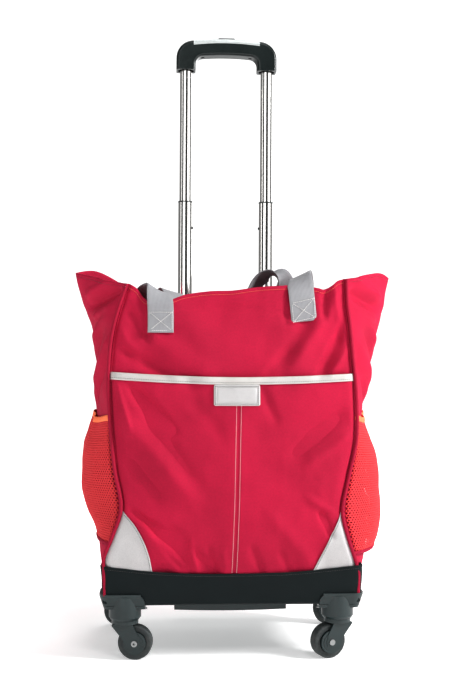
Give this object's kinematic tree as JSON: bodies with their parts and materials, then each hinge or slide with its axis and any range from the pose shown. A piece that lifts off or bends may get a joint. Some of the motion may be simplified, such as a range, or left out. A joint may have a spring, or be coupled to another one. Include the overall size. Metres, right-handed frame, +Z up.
{
  "type": "shopping trolley",
  "caption": "Four-wheel swivel shopping trolley: an open fabric tote on a stiff base, with a telescopic tube handle, net side pockets and carry straps.",
  "frame": {"origin": "on the floor, under the middle of the whole trolley's outline", "axes": "+Z up, +X to the right when facing the front of the bag, -Y is the front, the handle is at +Y"},
  "size_m": [0.49, 0.2683, 0.972],
  "materials": {
    "red_canvas": "coarse woven polyester, matt",
    "orange_mesh": "open knitted net",
    "red_piping": "woven tape over a cord",
    "black_canvas": "coarse woven polyester, matt",
    "cream_leatherette": "grained coated cloth, satin",
    "grey_leatherette": "grained coated cloth, satin",
    "grey_webbing": "ribbed webbing",
    "dark_plastic": "fine moulded grain",
    "black_plastic": "fine moulded grain",
    "silver_plastic": "silver lacquer",
    "button_plastic": "satin",
    "tyre_rubber": "smooth, matt",
    "polished_steel": "polished tube",
    "bright_steel": "zinc plated",
    "fibre_board": "stiff sheet"
  },
  "bodies": {
    "bag_frame": {"base_band": "black_canvas", "base_board": "fibre_board", "base_screws": "bright_steel", "base_tray": "black_plastic", "caster_housing_front_left": "dark_plastic", "caster_housing_front_right": "dark_plastic", "caster_housing_rear_left": "dark_plastic", "caster_housing_rear_right": "dark_plastic", "swivel_pivots": "bright_steel", "tube_foot": "dark_plastic", "outer_tube_left": "polished_steel", "outer_tube_right": "polished_steel", "handle_bezel": "dark_plastic", "tube_sleeve": "black_canvas", "front_panel": "red_canvas", "back_panel": "red_canvas", "gusset_left": "red_canvas", "gusset_right": "red_canvas", "corner_cords": "red_piping", "front_pocket": "red_canvas", "pocket_binding": "cream_leatherette", "label_patch": "cream_leatherette", "corner_patches": "grey_leatherette", "mesh_pocket_left": "orange_mesh", "mesh_pocket_right": "orange_mesh", "front_strap": "grey_webbing", "rear_strap": "grey_webbing"},
    "middle_stage": {"middle_tube_left": "polished_steel", "middle_tube_right": "polished_steel", "middle_bushes": "black_plastic", "middle_plugs": "black_plastic"},
    "upper_stage": {"upper_tube_left": "polished_steel", "upper_tube_right": "polished_steel", "upper_plugs": "black_plastic", "grip_body": "black_plastic", "grip_cover": "silver_plastic", "grip_screws": "bright_steel", "button_spring": "bright_steel"},
    "release": {"release_button": "button_plastic", "push_rods": "black_plastic"},
    "upper_lock_left": {"upper_lock_pin_left": "bright_steel"},
    "upper_lock_right": {"upper_lock_pin_right": "bright_steel"},
    "middle_lock_left": {"middle_lock_pin_left": "bright_steel"},
    "middle_lock_right": {"middle_lock_pin_right": "bright_steel"},
    "fork_front_left": {"fork_front_left": "dark_plastic", "axle_front_left": "bright_steel"},
    "wheel_front_left": {"hub_front_left": "black_plastic", "tyre_front_left": "tyre_rubber"},
    "fork_front_right": {"fork_front_right": "dark_plastic", "axle_front_right": "bright_steel"},
    "wheel_front_right": {"hub_front_right": "black_plastic", "tyre_front_right": "tyre_rubber"},
    "fork_rear_left": {"fork_rear_left": "dark_plastic", "axle_rear_left": "bright_steel"},
    "wheel_rear_left": {"hub_rear_left": "black_plastic", "tyre_rear_left": "tyre_rubber"},
    "fork_rear_right": {"fork_rear_right": "dark_plastic", "axle_rear_right": "bright_steel"},
    "wheel_rear_right": {"hub_rear_right": "black_plastic", "tyre_rear_right": "tyre_rubber"}
  },
  "joints": [
    {"name": "middle_stage_slide", "type": "slide", "parent": "bag_frame", "child": "middle_stage", "axis": [0, 0, 1], "range_m": [-0.168, 0]},
    {"name": "upper_stage_slide", "type": "slide", "parent": "middle_stage", "child": "upper_stage", "axis": [0, 0, 1], "range_m": [-0.215, 0]},
    {"name": "release_button_press", "type": "slide", "parent": "upper_stage", "child": "release", "axis": [0, 0, -1], "range_m": [0, 0.0035], "stiffness_N_per_m": 900, "springref_m": -0.002, "deforming": ["button_spring"]},
    {"name": "upper_lock_left_slide", "type": "slide", "parent": "upper_stage", "child": "upper_lock_left", "axis": [1, 0, 0], "range_m": [0, 0.0015]},
    {"name": "upper_lock_right_slide", "type": "slide", "parent": "upper_stage", "child": "upper_lock_right", "axis": [-1, 0, 0], "range_m": [0, 0.0015]},
    {"name": "middle_lock_left_slide", "type": "slide", "parent": "middle_stage", "child": "middle_lock_left", "axis": [1, 0, 0], "range_m": [0, 0.0015]},
    {"name": "middle_lock_right_slide", "type": "slide", "parent": "middle_stage", "child": "middle_lock_right", "axis": [-1, 0, 0], "range_m": [0, 0.0015]},
    {"name": "swivel_front_left", "type": "hinge", "parent": "bag_frame", "child": "fork_front_left", "pos_m": [-0.156, -0.1109, 0.06], "axis": [0, 0, 1], "continuous": true},
    {"name": "wheel_spin_front_left", "type": "hinge", "parent": "fork_front_left", "child": "wheel_front_left", "pos_m": [-0.14058, -0.11252, 0.025], "axis": [0.1045, 0.9945, 0], "continuous": true},
    {"name": "swivel_front_right", "type": "hinge", "parent": "bag_frame", "child": "fork_front_right", "pos_m": [0.156, -0.1109, 0.06], "axis": [0, 0, 1], "continuous": true},
    {"name": "wheel_spin_front_right", "type": "hinge", "parent": "fork_front_right", "child": "wheel_front_right", "pos_m": [0.14134, -0.11595, 0.025], "axis": [0.3256, -0.9455, 0], "continuous": true},
    {"name": "swivel_rear_left", "type": "hinge", "parent": "bag_frame", "child": "fork_rear_left", "pos_m": [-0.156, 0.0851, 0.06], "axis": [0, 0, 1], "continuous": true},
    {"name": "wheel_spin_rear_left", "type": "hinge", "parent": "fork_rear_left", "child": "wheel_rear_left", "pos_m": [-0.17146, 0.08618, 0.025], "axis": [-0.0698, -0.9976, 0], "continuous": true},
    {"name": "swivel_rear_right", "type": "hinge", "parent": "bag_frame", "child": "fork_rear_right", "pos_m": [0.156, 0.0851, 0.06], "axis": [0, 0, 1], "continuous": true},
    {"name": "wheel_spin_rear_right", "type": "hinge", "parent": "fork_rear_right", "child": "wheel_rear_right", "pos_m": [0.17148, 0.08429, 0.025], "axis": [0.0523, 0.9986, 0], "continuous": true}
  ]
}
